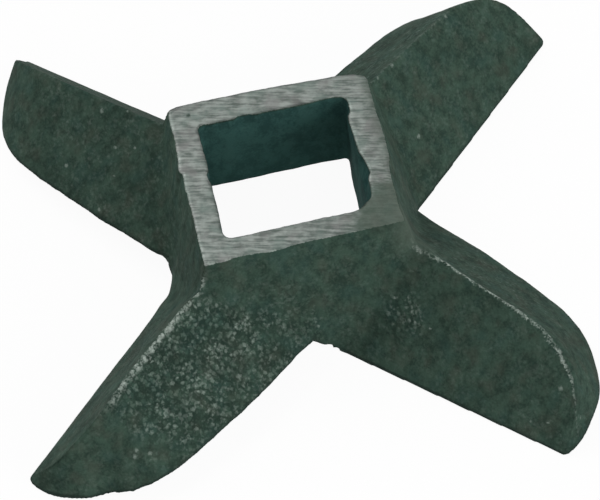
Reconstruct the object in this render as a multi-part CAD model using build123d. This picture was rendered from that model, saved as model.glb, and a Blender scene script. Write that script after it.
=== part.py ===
"""Four-armed cutting knife of a hand meat grinder, one steel casting, in millimetres.

The origin is on the axis of the square drive hole, in the cutting plane that slides on the
perforated plate. +Z points at the feed screw. The hub's sides are parallel to X and Y.
"""
import os
from math import cos, hypot, radians, sin, sqrt, tan

from build123d import *

# overall sizes
sweep_radius = 24.0          # axis to the tip corner of an arm
arm_count = 4
hub_height = 8.9             # cutting plane to the ground face of the hub

# hub
hub_square = 12.9            # across flats, at the ground face
hub_draft = 14.0             # degrees, the walls widen downwards
drive_square = 9.4           # across flats of the hole, for the feed screw's square
drive_corner_radius = 0.35
recess_depth = 2.8           # underside of the hub, above the cutting plane
recess_diameter = 15.0
recess_draft = 20.0          # degrees from vertical
root_fillet = 0.8            # where the leading faces run into the hub's walls
notch_radius = 1.6           # between the back of one arm and the cutting edge of the next

# arm seen from above, its cutting edge is a straight line that passes the axis at edge_offset
edge_offset = 5.15
edge_angle = 46.7            # degrees from the hub's side normal to the cutting edge
root_width = 10.8            # cutting edge to back, where the arm ends inside the hub

# back of the arm from the middle to the tip corner: (distance back from the tip corner,
# distance behind the cutting edge)
back_outline = [
    (-12.0, 10.1),
    (-7.7, 9.2),
    (-4.6, 8.3),
    (-2.6, 6.95),
    (-1.2, 5.1),
    (-0.25, 3.2),
    (0.27, 1.3),
    (0.0, 0.0),
]

# crest from the middle to the tip: (distance back, distance behind, share of the arm's height)
hub_step = 1.2               # ground face of the hub above the root of the crests
root_crest = (5.0, 1.0)      # distance behind and share, where the arm ends inside the hub
crest_line = [
    (-12.0, 4.85, 0.91),
    (-7.7, 4.45, 0.83),
    (-4.6, 4.1, 0.766),
    (-2.8, 3.5, 0.656),
    (-1.5, 2.8, 0.52),
    (-0.7, 2.15, 0.39),
    (-0.25, 1.3, 0.253),
    (-0.1, 0.45, 0.11),
]
edge_land = 0.45             # height of the blunt strip on the cutting edge
back_land = 0.35             # height of the wall round the back

# arm, underneath
ground_land = 1.2            # flat strip behind the cutting edge that runs on the plate
ground_flare = 8.0           # degrees, the strip widens towards the tip
relief_angle = 12.2          # degrees, the underside rises from that strip to the back
relief_end_radius = 22.2     # the relief fades out here, so the tip runs on the plate too
relief_end_angle = 30.0
relief_root_angle = 57.0     # degrees, the ramp from the next arm's edge up into the relief

margin = 2.0                 # how far cutting bodies reach past what they cut
wall_tolerance = 0.02        # how near an edge lies to a wall to count as on it

# driven sizes
tip_reach = sqrt(sweep_radius**2 - edge_offset**2)      # axis to tip corner, along the edge
root_reach = edge_offset - tip_reach                    # where the arm ends inside the hub
edge_line = -edge_offset                                # the edge in the arm's own frame
quarter_turn = 360.0 / arm_count
hub_base = hub_square + 2 * hub_height * tan(radians(hub_draft))
arm_height = hub_height - hub_step


def arm_point(reach, width, height=0.0):
    """A point in the arm's own frame: reach is from the tip corner, width from the edge."""
    return Vector(tip_reach + reach, edge_line + width, height)


def crest_point(reach, width, share):
    """A point of the crest, its height a share of the arm's."""
    return arm_point(reach, width, share * arm_height)


def underside_height(point):
    """Height of the relieved underside above the cutting plane, in the arm's own frame."""
    flare = radians(ground_flare)
    behind = (point.Y - edge_line - ground_land) * cos(flare) - (point.X - edge_offset) * sin(flare)
    across = behind * tan(radians(relief_angle))
    along = (relief_end_radius - hypot(point.X, point.Y)) * tan(radians(relief_end_angle))
    return max(0.0, min(across, along))


def make_arm():
    """One arm before its underside is relieved, its cutting edge along X."""
    foot_points = [arm_point(*station) for station in [(root_reach, root_width)] + back_outline]
    foot = Spline(*foot_points)
    rim = Spline(*[point + Vector(0, 0, underside_height(point) + back_land) for point in foot_points])
    crest = Spline(*[crest_point(*station) for station in [(root_reach, *root_crest)] + crest_line])

    edge_foot = Line(arm_point(root_reach, 0), foot @ 1)
    edge_top = Line(arm_point(root_reach, 0, edge_land), rim @ 1)
    tip_upright = Line(foot @ 1, rim @ 1)
    root_upright = Line(edge_foot @ 0, edge_top @ 0)
    root_lead = Line(edge_top @ 0, crest @ 0)
    root_back = Line(crest @ 0, rim @ 0)
    root_wall = Line(rim @ 0, foot @ 0)
    root_foot = Line(foot @ 0, edge_foot @ 0)

    bottom = Face(Wire([edge_foot, foot, root_foot]))
    blunt_strip = Face(Wire([edge_foot, tip_upright, edge_top, root_upright]))
    leading_face = Face.make_surface_from_curves(edge_top.edge(), crest.edge())
    back_face = Face.make_surface_from_curves(crest.edge(), rim.edge())
    back_wall = Face.make_surface_from_curves(rim.edge(), foot.edge())
    root_face = Face(Wire([root_upright, root_lead, root_back, root_wall, root_foot]))
    return Solid(Shell([bottom, blunt_strip, leading_face, back_face, back_wall, root_face]))


def make_relief():
    """What is taken from under one arm, behind its ground strip, in the arm's own frame."""
    width = root_width + margin
    rise = width * tan(radians(relief_angle))
    section = Polyline((0.0, -margin), (0.0, 0.0), (width, rise), (width, -margin), close=True)
    wedge = extrude(Plane.YZ.offset(-root_width) * make_face(section), sweep_radius + root_width)
    wedge = Pos(edge_offset, edge_line + ground_land) * Rot(0, 0, ground_flare) * wedge

    top = rise + margin
    ramp_end = edge_offset + top / tan(radians(relief_root_angle))
    lean = Polyline((0.0, 0.0), (edge_offset, 0.0), (ramp_end, top), (0.0, top), close=True)
    ramp = extrude(Plane.XZ * make_face(lean), sweep_radius, both=True)
    inner = Box(sweep_radius, 2 * sweep_radius, 2 * top, align=(Align.MAX, Align.CENTER, Align.CENTER))
    bound = make_cone(relief_end_radius, top, relief_end_angle)
    return (wedge - ramp - Pos(edge_offset, 0) * inner) & bound


def make_cone(radius, height, angle):
    """A cone with a radius at the cutting plane, narrowing upwards, from below that plane."""
    slope = tan(radians(angle))
    foot = radius + margin / slope
    top = radius - height / slope
    cone = Cone(foot, top, height + margin, align=(Align.CENTER, Align.CENTER, Align.MIN))
    return Pos(0, 0, -margin) * cone


def make_recess():
    """The hollow under the hub."""
    foot = recess_diameter / 2 + recess_depth * tan(radians(recess_draft))
    return make_cone(foot, recess_depth, 90.0 - recess_draft)


def make_notch():
    """The round end of the gap between the back of one arm and the next arm's edge."""
    centre = (edge_offset + notch_radius, edge_line + root_width + notch_radius)
    return Pos(*centre) * Cylinder(notch_radius, 2 * hub_height)


def make_drive_hole():
    """The square hole for the feed screw."""
    square = RectangleRounded(drive_square, drive_square, drive_corner_radius)
    return Pos(0, 0, -margin) * extrude(square, hub_height + 2 * margin)


def place_on_arms(body):
    """Copies of a body, one in each arm's frame."""
    return [Rot(0, 0, edge_angle + quarter_turn * number) * body for number in range(arm_count)]


def find_lead_roots(body):
    """The inside corners where the leading faces run into the hub's walls."""
    found = []
    for edge in body.edges():
        middle = edge @ 0.5
        wall = hub_square / 2 + (hub_height - middle.Z) * tan(radians(hub_draft))
        on_wall = abs(max(abs(middle.X), abs(middle.Y)) - wall) < wall_tolerance
        low = min((edge @ 0).Z, (edge @ 1).Z)
        if on_wall and abs(low - edge_land) < edge_land / 2 and middle.Z > recess_depth:
            found.append(edge)
    return found


knife = extrude(Rectangle(hub_base, hub_base), hub_height, taper=hub_draft)
for arm in place_on_arms(make_arm()):
    knife += arm
knife = fillet(find_lead_roots(knife), root_fillet)
for hollow in place_on_arms(make_relief()) + place_on_arms(make_notch()):
    knife -= hollow
knife -= make_recess()
knife -= make_drive_hole()

os.makedirs("parts", exist_ok=True)
export_step(knife, "parts/grinder_knife.step")
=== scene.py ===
# Blender looks for a hand meat grinder's cutting knife: one dark steel casting with a ground hub face.
import math

import bpy
import numpy as np
from mathutils import Matrix, Vector, noise


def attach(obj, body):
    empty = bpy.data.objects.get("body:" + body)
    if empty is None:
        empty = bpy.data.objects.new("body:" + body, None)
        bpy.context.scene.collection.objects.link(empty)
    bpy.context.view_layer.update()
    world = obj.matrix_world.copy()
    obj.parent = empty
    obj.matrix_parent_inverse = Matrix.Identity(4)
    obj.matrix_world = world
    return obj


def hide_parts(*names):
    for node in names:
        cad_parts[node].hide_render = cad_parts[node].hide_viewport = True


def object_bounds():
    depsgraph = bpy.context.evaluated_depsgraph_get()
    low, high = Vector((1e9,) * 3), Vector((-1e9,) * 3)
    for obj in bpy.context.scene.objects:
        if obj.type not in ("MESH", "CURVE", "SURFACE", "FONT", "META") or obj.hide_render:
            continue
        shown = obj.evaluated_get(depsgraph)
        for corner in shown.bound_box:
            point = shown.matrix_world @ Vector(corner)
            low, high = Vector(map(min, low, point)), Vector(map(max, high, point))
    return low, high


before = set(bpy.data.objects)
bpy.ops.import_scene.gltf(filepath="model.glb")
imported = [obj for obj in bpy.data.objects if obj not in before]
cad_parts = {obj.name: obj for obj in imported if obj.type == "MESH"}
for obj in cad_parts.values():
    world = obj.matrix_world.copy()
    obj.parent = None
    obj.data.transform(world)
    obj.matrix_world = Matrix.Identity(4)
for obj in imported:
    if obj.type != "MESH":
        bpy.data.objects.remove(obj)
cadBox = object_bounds()
print("frame loaded")


# shader maths

class Socket:
    def __init__(self, shader, link):
        self.shader = shader
        self.link = link

    def __add__(self, other):
        return self.shader.maths("ADD", self, other)

    def __radd__(self, other):
        return self.shader.maths("ADD", other, self)

    def __sub__(self, other):
        return self.shader.maths("SUBTRACT", self, other)

    def __rsub__(self, other):
        return self.shader.maths("SUBTRACT", other, self)

    def __mul__(self, other):
        return self.shader.maths("MULTIPLY", self, other)

    def __rmul__(self, other):
        return self.shader.maths("MULTIPLY", other, self)


class Shader:
    def __init__(self, name):
        self.material = bpy.data.materials.new(name)
        self.material.use_nodes = True
        self.tree = self.material.node_tree
        self.tree.nodes.clear()

    def add(self, kind, settings=None, inputs=None, output=0):
        node = self.tree.nodes.new(kind)
        for key, value in (settings or {}).items():
            setattr(node, key, value)
        for key, value in (inputs or {}).items():
            self.feed(node.inputs[key], value)
        return Socket(self, node.outputs[output]) if len(node.outputs) else None

    def feed(self, target, value):
        if isinstance(value, Socket):
            self.tree.links.new(value.link, target)
        else:
            target.default_value = value

    def maths(self, operation, a, b):
        return self.add("ShaderNodeMath", {"operation": operation}, {0: a, 1: b})

    def step(self, value, low, high):  # 0 at low, 1 at high, smooth between
        return self.add("ShaderNodeMapRange", {"interpolation_type": "SMOOTHSTEP"},
                        {"Value": value, "From Min": low, "From Max": high})

    def mix(self, factor, a, b):
        return self.add("ShaderNodeMix", {"data_type": "RGBA"}, {0: factor, 6: a, 7: b}, output=2)

    def attribute(self, name):
        return self.add("ShaderNodeAttribute", {"attribute_name": name}, output=2)

    def vector(self, operation, a, b):
        return self.add("ShaderNodeVectorMath", {"operation": operation}, {0: a, 1: b})

    def scaled(self, vector, share):
        return self.add("ShaderNodeVectorMath", {"operation": "SCALE"}, {0: vector, "Scale": share})

    def millimetres(self):
        return self.scaled(self.add("ShaderNodeTexCoord", output=3), 1000.0)

    def axis(self, vector, number):
        return self.add("ShaderNodeSeparateXYZ", inputs={0: vector}, output=number)

    def distance(self, vector, spot):
        return self.add("ShaderNodeVectorMath", {"operation": "DISTANCE"}, {0: vector, 1: spot}, output=1)

    def stretch(self, vector, scale, angle=0.0):
        return self.add("ShaderNodeMapping", {"vector_type": "TEXTURE"},
                        {"Vector": vector, "Scale": scale, "Rotation": (0.0, 0.0, math.radians(angle))})

    def noise(self, vector, size, detail=2.0, output=0):
        return self.add("ShaderNodeTexNoise", {"noise_dimensions": "3D"},
                        {"Vector": vector, "Scale": 1.0 / size, "Detail": detail}, output=output)

    def cells(self, vector, size, output):
        return self.add("ShaderNodeTexVoronoi", inputs={"Vector": vector, "Scale": 1.0 / size},
                        output=output)

    def bump(self, height):
        return self.add("ShaderNodeBump", inputs={"Height": height, "Distance": 1.0, "Strength": 1.0})

    def finish(self, surface):
        self.add("ShaderNodeOutputMaterial", inputs={"Surface": surface})
        return self.material


def hexColour(text):
    channels = [int(text[i:i + 2], 16) / 255 for i in (0, 2, 4)]
    return (*[c / 12.92 if c < 0.04045 else ((c + 0.055) / 1.055) ** 2.4 for c in channels], 1.0)


# camera, as the photograph was taken: places in metres, lens in mm

camera = {
    "eye": (-0.025951, -0.196498, 0.253846),
    "forward": (0.082993, 0.6089, -0.788893),
    "right": (0.977945, -0.202014, -0.053042),
    "lens": 300.0,
    "shift": (-0.01207, 0.01487),
}


def makeCamera():
    data = bpy.data.cameras.new("camera")
    data.sensor_width = 36.0
    data.lens = camera["lens"]
    data.shift_x, data.shift_y = camera["shift"]
    data.clip_start = 0.01
    cam = bpy.data.objects.new("camera", data)
    bpy.context.scene.collection.objects.link(cam)
    forward = Vector(camera["forward"]).normalized()
    right = Vector(camera["right"])
    right = (right - right.dot(forward) * forward).normalized()
    up = right.cross(forward)
    turn = Matrix((right, up, -forward)).transposed().to_4x4()
    cam.matrix_world = Matrix.Translation(camera["eye"]) @ turn
    bpy.context.scene.camera = cam


makeCamera()
print("camera placed")


# meshes as arrays of points, in mm

def readPoints(mesh):
    points = np.empty(len(mesh.vertices) * 3)
    mesh.vertices.foreach_get("co", points)
    return points.reshape(-1, 3)


def writePoints(mesh, points):
    mesh.vertices.foreach_set("co", points.ravel())
    mesh.update()


def readNormals(mesh):
    normals = np.empty(len(mesh.vertices) * 3)
    mesh.vertex_normals.foreach_get("vector", normals)
    return normals.reshape(-1, 3)


def readEdges(mesh):
    edges = np.empty(len(mesh.edges) * 2, dtype=np.int32)
    mesh.edges.foreach_get("vertices", edges)
    return edges.reshape(-1, 2)


def spread(values, edges, rounds):  # averages each vertex with its neighbours
    count = np.bincount(edges.ravel(), minlength=len(values)).astype(float)
    for _ in range(rounds):
        total = np.zeros_like(values)
        for axis in range(values.shape[1]):
            total[:, axis] = np.bincount(edges[:, 0], values[edges[:, 1], axis], len(values))
            total[:, axis] += np.bincount(edges[:, 1], values[edges[:, 0], axis], len(values))
        values = 0.5 * values + 0.5 * total / count[:, None]
    return values


def setAttribute(mesh, name, values):
    layer = mesh.attributes.new(name, "FLOAT", "POINT")
    layer.data.foreach_set("value", values.astype(np.float32))


def rise(values, low, high):  # 0 at low, 1 at high, smooth between
    share = np.clip((values - low) / (high - low), 0.0, 1.0)
    return share * share * (3.0 - 2.0 * share)


def lumps(points, size, seed):  # smooth noise, about -1 to 1
    places = points / size + seed
    return np.array([noise.noise(place) for place in places.tolist()])


def applyModifiers(piece):
    depsgraph = bpy.context.evaluated_depsgraph_get()
    made = bpy.data.meshes.new_from_object(piece.evaluated_get(depsgraph))
    piece.modifiers.clear()
    piece.data = made


# driving sizes in mm, as the CAD part has them

knife = {
    "sweepRadius": 24.0,
    "edgeOffset": 5.15,      # the cutting edges pass the axis at this distance
    "edgeAngle": 46.7,
    "hubHalf": 6.45,
    "holeHalf": 4.7,
    "recessDepth": 2.8,
    "armFrom": -17.0,        # root of an arm, counted from its tip corner
    "armTo": -2.0,           # where its tip begins
    "armWidth": 9.0,
    # crest of an arm: past the tip corner, behind the cutting edge
    "crestLine": [(-24.0, 5.0), (-12.0, 4.85), (-7.7, 4.45), (-4.6, 4.1), (-2.8, 3.5), (-1.5, 2.8),
                  (0.0, 1.0)],
}
hubTop = cadBox[1][2] * 1000.0
tipReach = math.sqrt(knife["sweepRadius"] ** 2 - knife["edgeOffset"] ** 2)


def armTurn(number):
    angle = math.radians(knife["edgeAngle"] + 90.0 * number)
    return math.cos(angle), math.sin(angle)


def armOf(points):
    bearing = np.degrees(np.arctan2(points[:, 1], points[:, 0]))
    return np.round((bearing - knife["edgeAngle"]) / 90.0).astype(int) % 4


def toArm(points, number):  # distance past the tip corner, distance behind the cutting edge
    cos, sin = armTurn(number)
    past = points[:, 0] * cos + points[:, 1] * sin - tipReach
    behind = points[:, 1] * cos - points[:, 0] * sin + knife["edgeOffset"]
    return past, behind


def fromAxis(points):  # how far out from the axis, measured square as the hub is
    return np.maximum(np.abs(points[:, 0]), np.abs(points[:, 1]))


# casting: a fine copy of the CAD node, with this one casting's own unevenness

casting = {
    "voxel": 0.1,
    "triangles": 190000,
    "rounding": 2,           # rounds of smoothing over every corner
    "findRounds": 50,        # rounds of smoothing that find the inside corners
    "shareRounds": 80,       # rounds that spread what they found
    "rootRounds": 600,       # rounds of smoothing in the inside corners
    "waves": [(2.2, 0.055), (0.9, 0.022), (0.4, 0.01)],   # sizes and heights of the rough skin
    "raggedHeight": 0.04,    # how ragged the sides of the hub and the hole are
    "raggedSize": 0.3,
    "lipDepth": 1.8,         # how far down the hole the shape of its upper edge reaches
}

# arms in turn from the far right one, and how this casting's differ from the pattern: longer by how
# much and over what length, edge and back outwards at root and tip, crest backwards
armShapes = [
    {"longer": -0.3, "over": 2.5, "edge": (0.02, 0.1), "back": (-0.36, 0.22), "crest": 0.0},
    {"longer": 0.45, "over": 8.0, "edge": (0.05, -0.18), "back": (-0.12, -0.06), "crest": 0.0},
    {"longer": -0.1, "over": 2.5, "edge": (-0.1, -0.16), "back": (-0.05, -0.2), "crest": -0.4},
    {"longer": -0.3, "over": 2.5, "edge": (0.02, 0.12), "back": (-0.34, 0.24), "crest": 0.0},
]

# bulges and dents of the outline: arm, past the tip corner, behind the edge, size, how far outwards
bulges = [
    (0, -0.3, 2.7, 1.9, 0.36),
    (1, -16.3, 10.5, 1.0, 0.2),
    (1, -17.7, 11.2, 1.0, -0.26),
    (1, -18.3, 13.0, 0.8, 0.12),
    (2, -17.0, 10.6, 0.8, 0.12),
    (2, -0.3, 2.3, 1.4, 0.1),
    (2, -1.5, 5.3, 1.0, -0.38),
    (2, -3.6, 7.3, 1.1, 0.1),
    (3, -0.9, 4.4, 2.2, 0.52),
]

# outline of the hole's upper edge: (place along the side, how far outwards)
holeSides = {
    "far": [(-4.7, 0.0), (-3.9, 0.0), (-2.4, 0.03), (-2.1, 0.2), (-1.4, 0.22), (-1.1, 0.06), (-0.2, 0.12),
            (0.8, 0.06), (2.0, 0.08), (3.2, 0.2), (3.9, 0.27), (4.4, 0.2), (4.7, 0.0)],
    "right": [(-4.7, -0.4), (-4.3, -0.05), (-3.9, 0.12), (-3.2, 0.13), (-2.6, 0.11), (-2.15, 0.2),
              (-1.9, 0.36), (-1.4, 0.27), (-0.5, 0.13), (0.2, -0.02), (1.2, -0.06), (3.2, -0.1),
              (3.5, 0.13), (4.7, 0.1)],
    "near": [(-4.7, -0.1), (-3.0, -0.13), (-1.0, -0.2), (0.2, -0.25), (3.6, -0.28), (4.2, -0.4),
             (4.7, -0.7)],
    "left": [(-4.7, 0.05), (-4.4, 0.12), (-4.0, 0.2), (-3.7, 0.15), (-0.6, 0.14), (-0.1, 0.1),
             (0.3, 0.25), (0.8, 0.24), (1.0, 0.07), (3.0, 0.1), (4.7, 0.12)],
}

# outline of the hub's ground face, in the same way
hubSides = {
    "far": [(-6.45, -0.1), (-5.8, 0.12), (-5.0, 0.2), (-2.0, 0.29), (1.0, 0.33), (4.0, 0.38), (5.6, 0.2),
            (6.45, -0.1)],
    "right": [(-6.45, 0.05), (-3.0, -0.1), (-1.6, -0.08), (-1.0, 0.02), (0.2, 0.12), (2.0, 0.08),
              (3.0, 0.0), (5.0, -0.06), (6.0, -0.05), (6.45, -0.2)],
    "near": [(-6.45, 0.0), (-5.0, -0.08), (-4.2, -0.22), (-3.0, -0.2), (-2.3, -0.08), (-1.5, -0.18),
             (-1.0, -0.3), (2.0, -0.35), (4.0, -0.47), (6.45, -0.6)],
    "left": [(-6.45, 0.1), (-4.5, 0.14), (-3.0, 0.06), (0.0, 0.09), (1.15, 0.02), (1.35, 0.22), (2.2, 0.14),
             (4.0, 0.06), (5.8, 0.04), (6.45, -0.05)],
}

# how the hole's walls lean at their lower edge
holeFeet = {
    "far": [(-4.7, -0.17), (4.7, 0.08)],
    "right": [(-4.7, -0.35), (4.7, -0.05)],
    "near": [(-4.7, 0.0), (4.7, 0.0)],
    "left": [(-4.7, 0.25), (4.7, 0.2)],
}


def sideShift(sides, names, across, along):
    low, high = [np.interp(along, *zip(*sides[name])) for name in names]
    return np.where(across > 0, high, -low)


def warpHub(points):
    z = points[:, 2]
    moved = points.copy()
    lip = rise(z, hubTop - casting["lipDepth"], hubTop - 0.1)
    wall = np.clip((z - knife["recessDepth"]) / (hubTop - knife["recessDepth"]), 0.0, 1.0)
    fade = 1.0 - rise(fromAxis(points), knife["hubHalf"] + 0.5, knife["hubHalf"] + 3.0)
    for axis, names in ((0, ("left", "right")), (1, ("near", "far"))):
        across, along = points[:, axis], points[:, 1 - axis]
        places = np.stack([along, across * 0.2, z * 0.5], axis=1)
        ragged = casting["raggedHeight"] * lumps(places, casting["raggedSize"], 3.1)
        inner = (sideShift(holeSides, names, across, along) + ragged) * lip
        inner += sideShift(holeFeet, names, across, along) * (1.0 - lip) * (1.0 - 0.5 * wall)
        outer = (sideShift(hubSides, names, across, along) + 0.6 * ragged) * wall
        reach = np.abs(across)
        share = np.clip((reach - knife["holeHalf"]) / (knife["hubHalf"] - knife["holeHalf"]), 0.0, 1.0)
        inHole = np.clip(reach / knife["holeHalf"], 0.0, 1.0)
        moved[:, axis] += (inner * (1.0 - share) * inHole + outer * share) * fade
    return moved


def crestRun(past):  # the stretch of an arm where its crest may stand aside
    return rise(past, -14.5, -11.5) * rise(-past, 2.0, 7.0)


def armAside(shape, past, behind):  # how far an arm's points move, backwards from its cutting edge
    toTip = np.clip((past - knife["armFrom"]) / (knife["armTo"] - knife["armFrom"]), 0.0, 1.0)
    toBack = np.clip(behind / knife["armWidth"], 0.0, 1.0)
    edgeOut, backOut = [root + (tip - root) * toTip for root, tip in (shape["edge"], shape["back"])]
    aside = (backOut * toBack - edgeOut * (1.0 - toBack)) * rise(past, -18.5, -15.0)
    return aside + shape["crest"] * np.exp(-((behind - 4.6) / 2.4) ** 2) * crestRun(past)


def warpArms(points):
    moved = points.copy()
    number = armOf(points)
    for arm, shape in enumerate(armShapes):
        own = number == arm
        past, behind = toArm(points[own], arm)
        move = shape["longer"] * rise(past, -shape["over"], 0.0)
        aside = armAside(shape, past, behind)
        cos, sin = armTurn(arm)
        moved[own, 0] += move * cos - aside * sin
        moved[own, 1] += move * sin + aside * cos
    for arm, past0, behind0, size, outwards in bulges:
        past, behind = toArm(points, arm)
        near = np.exp(-((past - past0) ** 2 + (behind - behind0) ** 2) / (size * size))
        out = math.radians(knife["edgeAngle"] + 90.0 * arm + 45.0)
        moved[:, 0] += outwards * near * math.cos(out)
        moved[:, 1] += outwards * near * math.sin(out)
    return moved


def softenRoots(points, edges, normals):  # fills the inside corners on the upper side
    hollow = ((spread(points, edges, casting["findRounds"]) - points) * normals).sum(1)
    upper = rise(fromAxis(points), 5.6, 6.2) * rise(normals[:, 2], -0.2, 0.1)
    share = spread((rise(hollow, 0.01, 0.05) * upper)[:, None], edges, casting["shareRounds"])
    share = rise(share, 0.02, 0.3)
    near = (share[:, 0] > 0.001)[edges].any(axis=1)
    used, local = np.unique(edges[near], return_inverse=True)
    smooth = spread(points[used], local.reshape(-1, 2), casting["rootRounds"])
    inwards = ((smooth - points[used]) * normals[used]).sum(1)
    moved = points.copy()
    moved[used] += (smooth - points[used]) * share[used] * rise(inwards, -0.02, 0.02)[:, None]
    return moved


def roughen(points, normals):  # not on the ground face, and little on the plate's side
    onGround = rise(points[:, 2], hubTop - 0.12, hubTop - 0.02) * rise(normals[:, 2], 0.7, 0.95)
    onPlate = 1.0 - rise(points[:, 2], 0.2, 1.0)
    free = (1.0 - onGround) * (1.0 - 0.8 * onPlate)
    height = np.zeros(len(points))
    for seed, (size, amount) in enumerate(casting["waves"]):
        height += amount * lumps(points, size, 7.3 + 11.0 * seed)
    return points + normals * (height * free)[:, None]


def makeCasting():
    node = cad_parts["grinder_knife"]
    mesh = node.data.copy()
    mesh.materials.clear()
    mesh.transform(Matrix.Scale(1000.0, 4))
    blade = bpy.data.objects.new("castKnife", mesh)
    bpy.context.scene.collection.objects.link(blade)
    remesh = blade.modifiers.new("remesh", "REMESH")
    remesh.mode = "VOXEL"
    remesh.voxel_size = casting["voxel"]
    applyModifiers(blade)
    mesh = blade.data
    edges = readEdges(mesh)
    points = softenRoots(readPoints(mesh), edges, readNormals(mesh))
    points = warpArms(warpHub(points))
    points = spread(points, edges, casting["rounding"])
    writePoints(mesh, points)
    writePoints(mesh, roughen(points, readNormals(mesh)))
    print("casting shaped,", len(mesh.polygons), "faces before thinning")
    decimate = blade.modifiers.new("decimate", "DECIMATE")
    decimate.ratio = min(1.0, casting["triangles"] / (2 * len(mesh.polygons)))
    applyModifiers(blade)
    return blade


# wear and painted light: worn crests with a painted highlight, and bright flecks painted as glints of the
# skin's bumps

wearAndGlints = {
    # worn crests of the arms in turn, with a painted highlight: how bright, how wide in mm, from and to in
    # mm past the tip corner
    "crests": [(0.15, 0.1, -16.0, -3.0), (0.0, 0.1, -15.0, -5.0), (1.0, 0.2, -14.8, -4.0),
               (1.0, 0.04, -17.0, -0.6)],
    "flecks": (0.2, 0.1, 1.0, 0.15),     # how many bright flecks, painted glints, each arm's back has
    "everywhere": 0.16,                  # how many more the whole skin has
    "fleckCell": 0.31,                   # mm from fleck to fleck
    "shake": 0.36,                       # mm that the flecks stand out of line
    # bright flecks that stand alone, painted glints: x, y, z, radius
    "marks": [
        (14.7, -18.2, 1.6, 0.2), (7.4, -8.5, 7.4, 0.14), (5.03, -8.1, 4.14, 0.16),
        (6.8, -10.47, 3.38, 0.12), (13.64, -16.87, 3.26, 0.22), (11.65, -17.29, 1.09, 0.16),
        (12.6, -17.87, 1.34, 0.14), (-11.45, 12.82, 5.33, 0.15), (-10.34, 9.8, 6.1, 0.2),
        (-8.75, 8.77, 6.85, 0.13), (-10.0, 7.4, 5.1, 0.16), (-8.79, 6.61, 5.67, 0.15),
        (-13.17, 8.43, 2.96, 0.2), (-10.42, 6.0, 4.03, 0.14), (-11.76, 4.84, 2.34, 0.18),
        (8.52, 8.36, 6.76, 0.2), (7.39, 7.33, 6.99, 0.16), (9.48, 5.24, 2.94, 0.2),
        (12.94, 12.24, 5.95, 0.18), (0.99, 4.7, 3.47, 0.2), (-4.56, -8.42, 4.81, 0.18),
        (-5.58, -11.14, 3.23, 0.24), (-12.88, -15.06, 3.06, 0.18), (-12.05, -15.21, 2.67, 0.18),
        (-13.01, -15.28, 2.77, 0.2),
    ],
    "patches": [(5.48, -9.16, 3.48, 1.9)],   # patches with many flecks, painted glints: x, y, z, radius
}


# marks the worn crests that get a painted highlight, and where the painted glints go
def markWearAndHighlights(mesh, points, normals):
    number = armOf(points)
    square = fromAxis(points)
    fromCrest, crestWidth, crestWearAndHighlight, flecks = np.zeros((4, len(points)))
    for arm, (shine, width, start, end) in enumerate(wearAndGlints["crests"]):
        own = number == arm
        past, behind = toArm(points[own], arm)
        crest = np.interp(past, *zip(*knife["crestLine"]))
        apart = behind - crest - armShapes[arm]["crest"] * crestRun(past)
        fromCrest[own] = apart
        crestWidth[own] = width * rise(past, start, start + 5.0)
        crestWearAndHighlight[own] = shine * rise(past, start - 0.5, start + 0.5) * rise(-past, -end - 1.0, -end + 2.0)
        flecks[own] = wearAndGlints["flecks"][arm] * rise(apart, -0.2, 0.3) * rise(-past, 3.0, 7.0)
        flecks[own] *= 1.0 - 0.45 * rise(apart, 1.2, 4.5)
    upper = rise(normals[:, 2], -0.1, 0.1)
    setAttribute(mesh, "fromCrest", fromCrest)
    setAttribute(mesh, "crestWidth", crestWidth)
    setAttribute(mesh, "crestWearAndHighlight", crestWearAndHighlight * rise(square, 6.5, 6.9) * upper)
    setAttribute(mesh, "flecks", flecks * rise(square, 6.9, 8.2) * upper)


def markRimShade(mesh, points, normals):  # painted shade: dark outer edges on the walls round the backs and on sharp corners
    square = fromAxis(points)
    sharp = ((points - spread(points, readEdges(mesh), 4)) * normals).sum(1)
    low = rise(-points[:, 2], -4.0, -2.5) * rise(square, 6.5, 7.5)
    high = rise(points[:, 2], hubTop - 0.3, hubTop - 0.1) * rise(points[:, 1], 6.0, 6.3)
    inner = rise(-square, -5.6, -5.3)
    wall = rise(-np.abs(normals[:, 2]), -0.3, -0.12) * rise(square, 8.0, 9.0)
    armCorner = rise(sharp, 0.006, 0.02) * low
    hubCorner = rise(sharp, 0.012, 0.03) * np.maximum(high, inner)
    setAttribute(mesh, "rimShade", np.maximum(np.maximum(wall, armCorner), hubCorner))


def dressCasting(blade):
    mesh = blade.data
    points = readPoints(mesh)
    normals = readNormals(mesh)
    markWearAndHighlights(mesh, points, normals)
    markRimShade(mesh, points, normals)
    writePoints(mesh, points * 0.001)
    mesh.shade_smooth()
    print("casting has", len(mesh.polygons), "faces")


# cast steel: dark green-black skin with painted glints and shade, worn crests with a painted highlight, a
# hole wall painted lighter lower down, bright ground hub face

colours = {
    "deep": "27372f",
    "middle": "3b4f44",
    "brown": "464940",
    "teal": "2c4641",
    # bright colour of the painted glints on the flecks
    "fleckGlint": "96a39a",
    # dark colour of the painted shade, on the rims and round the bright flecks
    "paintedShade": "182520",
    # bright colour of the chipped edge, and of the painted highlight on the worn crests
    "wornAndHighlight": "a3aea6",
    "holeDeep": "274644",
    # lighter hole colour, painted lower down the hole against the shade there
    "holeWallLitBelow": "3e6661",
    "groundDark": "58615c",
    "groundLight": "929994",
    "groundPink": "777675",
    "groundTeal": "6c7c75",
    "rawGround": "525d53",
}
paint = {name: hexColour(text) for name, text in colours.items()}

skin = {
    "grain": 0.14,           # sizes of the mottling in mm
    "lump": 0.62,
    "blotch": 2.0,
    "tint": 1.3,
    "tall": 1.4,             # how much taller than wide its lumps are
    "shares": (0.26, 0.46, 0.28),    # of grain, lumps and blotches
    # how dark the painted shade on the rims and sharp edges is
    "rimShadeDark": 0.65,
    "grainRelief": 0.012,    # heights in mm
    "lumpRelief": 0.03,
    "fleckRelief": 0.02,
}

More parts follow.
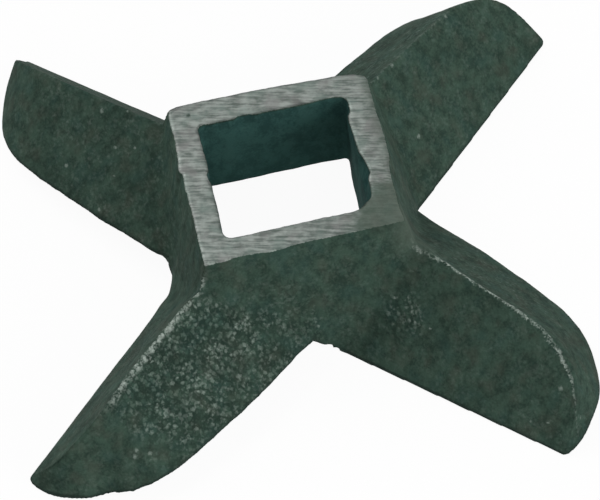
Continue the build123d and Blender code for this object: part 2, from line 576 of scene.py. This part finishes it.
hubFace = {
    "lineAngle": 165.9,      # degrees, direction of the grinding lines
    "longLine": (1.6, 0.16, 1.0),
    "shortLine": (0.35, 0.1, 1.0),
    "patch": (0.8, 0.45, 1.0),
    "shares": (0.38, 0.09, 0.44, 0.09),      # of long lines, short lines, patches and grain
    "relief": 0.006,
    "pits": [(-5.19, 5.71, 0.16)],           # dark pits: x, y, radius
    "rawCorner": (6.6, -5.9, 3.9),           # corner that the grinding missed: x, y, radius
    "dullStrip": (5.5, 6.7),                 # x where the right side turns dull
    "chippedEdge": (-6.0, -6.4),             # y where the near edge is chipped bright
}


def weigh(sockets, shares):
    total = sockets[0] * shares[0]
    for socket, share in zip(sockets[1:], shares[1:]):
        total = total + socket * share
    return total


class Mottling:  # places in mm, and the noises that all of the knife's finishes share
    def __init__(self, s):
        self.place = s.millimetres()
        self.x, self.y, self.z = [s.axis(self.place, number) for number in range(3)]
        tall = s.stretch(self.place, (1.0, 1.0, skin["tall"]))
        self.grain = s.noise(self.place, skin["grain"], detail=1.0)
        self.lump = s.noise(tall, skin["lump"])
        self.tone = weigh((self.grain, self.lump, s.noise(tall, skin["blotch"])), skin["shares"])
        self.tint = s.noise(s.vector("ADD", tall, (31.0, 7.0, 3.0)), skin["tint"])
        shake = s.scaled(s.noise(self.place, 0.25, output=1), wearAndGlints["shake"])
        self.shaken = s.vector("ADD", self.place, shake)


def mottledSkin(s, m):
    colour = s.mix(s.step(m.tone, 0.35, 0.65), paint["deep"], paint["middle"])
    colour = s.mix(s.step(m.tint, 0.5, 0.72) * 0.3, colour, paint["brown"])
    return s.mix(s.step(m.tint, 0.5, 0.28) * 0.35, colour, paint["teal"])


# painted glints: bright flecks where the rough skin's bumps catch the light, with painted shade beside them
def glintingFlecks(s, m, colour):
    glintAmount = s.attribute("flecks") + wearAndGlints["everywhere"]
    for *spot, radius in wearAndGlints["patches"]:
        glintAmount = glintAmount + s.step(s.distance(m.place, spot), radius, 0.4 * radius) * 0.6
    pitted = s.noise(m.place, 0.22, detail=1.0) * 0.7 + s.noise(m.place, 1.0, detail=1.0) * 0.3
    fromDot = s.cells(m.shaken, wearAndGlints["fleckCell"], output=0)
    cellShade = s.cells(m.shaken, wearAndGlints["fleckCell"], output=1)   # a random shade for each fleck
    dots = s.step(fromDot, 0.6, 0.2) * s.step(cellShade, 0.2, 1.05)
    crowded = s.step(s.noise(m.place, 1.6, detail=1.0), 0.36, 0.56) * 0.6 + 0.4
    fleckGlint = (dots * 0.65 + s.step(pitted, 0.5, 0.66) * 0.5) * crowded * glintAmount
    # painted shade in a ring round each fleck
    hollow = s.step(fromDot, 0.42, 0.6) * glintAmount
    colour = s.mix(fleckGlint * 0.62, colour, paint["fleckGlint"])
    colour = s.mix(hollow * 0.45, colour, paint["paintedShade"])
    relief = (s.step(fromDot, 0.7, 0.1) + pitted) * glintAmount * skin["fleckRelief"]
    return colour, relief


# painted glints: lone bright flecks
def loneGlints(s, m, colour):
    for *spot, radius in wearAndGlints["marks"]:
        apart = s.distance(m.place, spot) + (m.grain - 0.5) * 0.25
        colour = s.mix(s.step(apart, radius, 0.2 * radius) * 0.4, colour, paint["fleckGlint"])
    return colour


# painted highlight: a bright band along each worn crest
def crestHighlights(s, m, colour):
    fromCrest = s.attribute("fromCrest") + ((m.lump - 0.5) * 0.3 + (m.grain - 0.5) * 0.3)
    band = s.step(fromCrest, -0.1, 0.02) * s.step(fromCrest - s.attribute("crestWidth"), 0.2, 0.02)
    dabs = s.step(s.cells(m.shaken, 0.34, output=0), 0.62, 0.3) * 0.6 + s.step(m.grain, 0.4, 0.65) * 0.4
    return s.mix(band * s.attribute("crestWearAndHighlight") * dabs * 0.8, colour, paint["wornAndHighlight"])


def holeWallLitBelow(s, m, colour):
    square = s.maths("MAXIMUM", s.maths("ABSOLUTE", m.x, 0.0), s.maths("ABSOLUTE", m.y, 0.0))
    inHole = s.step(square, knife["holeHalf"] + 0.9, knife["holeHalf"] + 0.6)
    inHole = inHole * s.step(m.z, hubTop - 0.05, hubTop - 0.2)
    # painted light: half random tone, half lighter lower down the hole against the shade there
    inside = s.step(m.tone, 0.4, 0.6) * 0.5 + s.step(m.z, hubTop - 1.0, knife["recessDepth"]) * 0.5
    return s.mix(inHole * 0.8, colour, s.mix(inside, paint["holeDeep"], paint["holeWallLitBelow"]))


def besideCorner(s, m, colour):  # the wall beside the corner that the grinding missed, dull as well
    cornerX, cornerY = hubFace["rawCorner"][:2]
    beside = s.step(s.distance(m.place, (cornerX + 0.6, cornerY, hubTop - 0.9)), 2.6, 0.6)
    return s.mix(beside * 0.6, colour, paint["rawGround"])


def grindingLines(s, m):
    drift = (s.noise(m.place, 1.2, detail=1.0) - 0.5) * 0.2
    wavy = s.vector("ADD", m.place, s.add("ShaderNodeCombineXYZ", inputs={1: drift}))
    angle = hubFace["lineAngle"]
    longLines = s.noise(s.stretch(wavy, hubFace["longLine"], angle), 1.0, detail=1.0)
    shortLines = s.noise(s.stretch(wavy, hubFace["shortLine"], angle), 1.0, detail=1.0)
    patchy = s.noise(s.stretch(m.place, hubFace["patch"], angle), 1.0)
    return weigh((longLines, shortLines, patchy, m.grain), hubFace["shares"]), shortLines


def missedCorner(s, m, shortLines):  # 1 where the grinding missed the hub's corner
    cornerX, cornerY, reach = hubFace["rawCorner"]
    fromCorner = s.distance(s.vector("MULTIPLY", m.place, (1.0, 1.0, 0.0)), (cornerX, cornerY, 0.0))
    return s.step(fromCorner + (m.lump - 0.5) * 1.5 + (shortLines - 0.5), reach + 0.5, reach - 1.2)


def groundFace(s, m, polish, raw, colour):
    bright = s.mix(s.step(polish, 0.36, 0.64), paint["groundDark"], paint["groundLight"])
    bright = s.mix(s.step(m.tint, 0.5, 0.7) * 0.5, bright, paint["groundPink"])
    bright = s.mix(s.step(m.tint, 0.5, 0.3) * 0.5, bright, paint["groundTeal"])
    dull = s.step(m.x + (m.lump - 0.5) * 0.8, *hubFace["dullStrip"]) * 0.6
    skinned = s.mix(m.lump * 0.8, paint["rawGround"], colour)
    bright = s.mix(s.maths("MAXIMUM", raw * 0.85, dull), bright, skinned)
    chips = s.step(m.y + (m.lump - 0.5) * 0.6, *hubFace["chippedEdge"])
    chips = chips * s.step(s.noise(m.place, 0.3), 0.5, 0.62)
    bright = s.mix(chips * 0.6, bright, paint["wornAndHighlight"])
    for pitX, pitY, radius in hubFace["pits"]:
        apart = s.distance(m.place, (pitX, pitY, hubTop)) + (m.grain - 0.5) * 0.15
        bright = s.mix(s.step(apart, 1.4 * radius, 0.2 * radius) * 0.8, bright, paint["deep"])
    return bright


def makeCastSteel():
    s = Shader("castSteel")
    m = Mottling(s)
    colour, fleckRelief = glintingFlecks(s, m, mottledSkin(s, m))
    colour = crestHighlights(s, m, loneGlints(s, m, colour))
    colour = besideCorner(s, m, holeWallLitBelow(s, m, colour))

    polish, shortLines = grindingLines(s, m)
    raw = missedCorner(s, m, shortLines)
    ground = s.step(m.z + (m.grain - 0.5) * 0.06, hubTop - 0.07, hubTop - 0.04)
    colour = s.mix(ground, colour, groundFace(s, m, polish, raw, colour))
    # painted shade on the walls round the backs and on sharp edges
    colour = s.mix(s.attribute("rimShade") * skin["rimShadeDark"], colour, paint["paintedShade"])

    rough = m.grain * skin["grainRelief"] + m.lump * skin["lumpRelief"] + fleckRelief
    height = rough * (1.0 - ground) + polish * ground * hubFace["relief"]
    surface = s.add("ShaderNodeBsdfPrincipled", inputs={
        "Base Color": colour,
        "Roughness": 0.8 - ground * 0.35,
        "Metallic": ground * (1.0 - raw) * 0.35,
        "Specular IOR Level": 0.05,
        "Normal": s.bump(height * 0.001),
    })
    return s.finish(surface)


blade = makeCasting()
dressCasting(blade)
blade.data.materials.append(makeCastSteel())
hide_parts("grinder_knife")
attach(blade, "root")
print("knife dressed")


# floor, lamps and sky, in metres

room = {
    "floorSize": 3.0,
    "floorDrop": 0.00002,    # clear of the knife's underside
    "floorShade": 0.85,
    "whiteShare": 0.95,      # how much of the floor's look is plain white paper
    "skyStrength": 0.3,
    "lampAway": 0.6,
    "lampSize": 0.4,
    # bearing and height in degrees, power in watts
    "lamps": [
        {"name": "backLamp", "bearing": 125, "height": 50, "power": 2.1},
        {"name": "farLamp", "bearing": 75, "height": 20, "power": 0.3},
        {"name": "frontLamp", "bearing": 270, "height": 50, "power": 0.7},
        {"name": "sideLamp", "bearing": 315, "height": 20, "power": 2.2},
    ],
}


def makePaper():
    s = Shader("whitePaper")
    shade = room["floorShade"]
    paper = s.add("ShaderNodeBsdfDiffuse", inputs={"Color": (shade, shade, shade, 1.0)})
    white = s.add("ShaderNodeEmission", inputs={"Color": (1.0, 1.0, 1.0, 1.0), "Strength": 1.0})
    seen = 0.0
    for kind in ("Camera", "Glossy", "Transmission"):
        seen = s.maths("MAXIMUM", seen, s.add("ShaderNodeLightPath", output=f"Is {kind} Ray"))
    return s.finish(s.add("ShaderNodeMixShader", inputs={0: seen * room["whiteShare"], 1: paper, 2: white}))


def makeFloor():
    half = room["floorSize"] / 2
    corners = [(-half, -half, 0), (half, -half, 0), (half, half, 0), (-half, half, 0)]
    mesh = bpy.data.meshes.new("floor")
    mesh.from_pydata(corners, [], [(0, 1, 2, 3)])
    mesh.materials.append(makePaper())
    floor = bpy.data.objects.new("floor", mesh)
    floor.location.z = -room["floorDrop"]
    bpy.context.scene.collection.objects.link(floor)


def makeLamps():
    for lamp in room["lamps"]:
        data = bpy.data.lights.new(lamp["name"], "AREA")
        data.energy = lamp["power"]
        data.size = room["lampSize"]
        piece = bpy.data.objects.new(lamp["name"], data)
        bearing, height = math.radians(lamp["bearing"]), math.radians(lamp["height"])
        level = math.cos(height)
        spot = Vector((level * math.cos(bearing), level * math.sin(bearing), math.sin(height)))
        piece.location = spot * room["lampAway"]
        piece.rotation_euler = (-spot).to_track_quat("-Z", "Y").to_euler()
        bpy.context.scene.collection.objects.link(piece)


def makeSky():
    world = bpy.data.worlds.new("sky")
    world.use_nodes = True
    background = world.node_tree.nodes["Background"]
    background.inputs["Color"].default_value = (1.0, 1.0, 1.0, 1.0)
    background.inputs["Strength"].default_value = room["skyStrength"]
    bpy.context.scene.world = world


makeFloor()
makeLamps()
makeSky()
bpy.context.scene.view_settings.view_transform = "Standard"
print("room lit")
